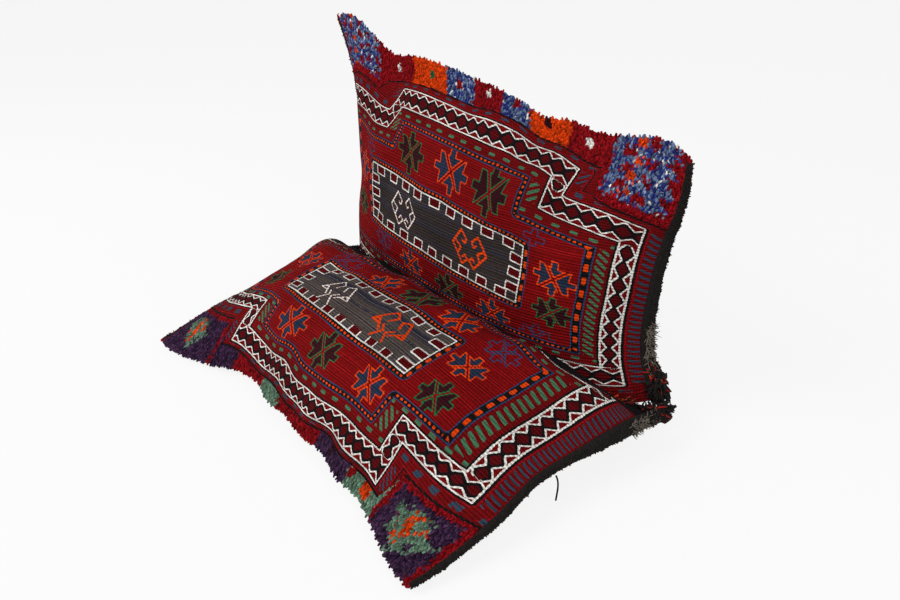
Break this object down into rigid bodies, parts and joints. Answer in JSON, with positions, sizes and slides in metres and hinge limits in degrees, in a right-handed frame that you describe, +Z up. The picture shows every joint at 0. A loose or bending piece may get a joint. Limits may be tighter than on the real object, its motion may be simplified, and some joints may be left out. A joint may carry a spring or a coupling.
{
  "type": "saddle bag",
  "caption": "Handwoven wool saddle bag set up as a floor seat: a stuffed patterned pouch lies flat and its twin stands behind it as a backrest",
  "frame": {"origin": "bottom centre of the bounding box, on the floor the bag rests on", "axes": "+X along the crease between the pouches, -Y out over the flat pouch, +Z up"},
  "size_m": [0.716, 0.5078, 0.4784],
  "materials": {
    "sumak_wool": "matt wool wrapped in ribs over a red ground, with knotted pile at the folded ends",
    "plain_wool": "matt plain woven wool",
    "goat_hair": "coarse black goat hair overcasting with frayed ends",
    "goat_yarn": "dark spun goat hair"
  },
  "bodies": {
    "root": {"seat_pouch": "sumak_wool", "back_pouch": "sumak_wool", "bridge_cloth": "plain_wool", "seat_overcast_left": "goat_hair", "seat_overcast_right": "goat_hair", "back_overcast_left": "goat_hair", "back_overcast_right": "goat_hair", "loose_thread": "goat_yarn"}
  },
  "joints": []
}
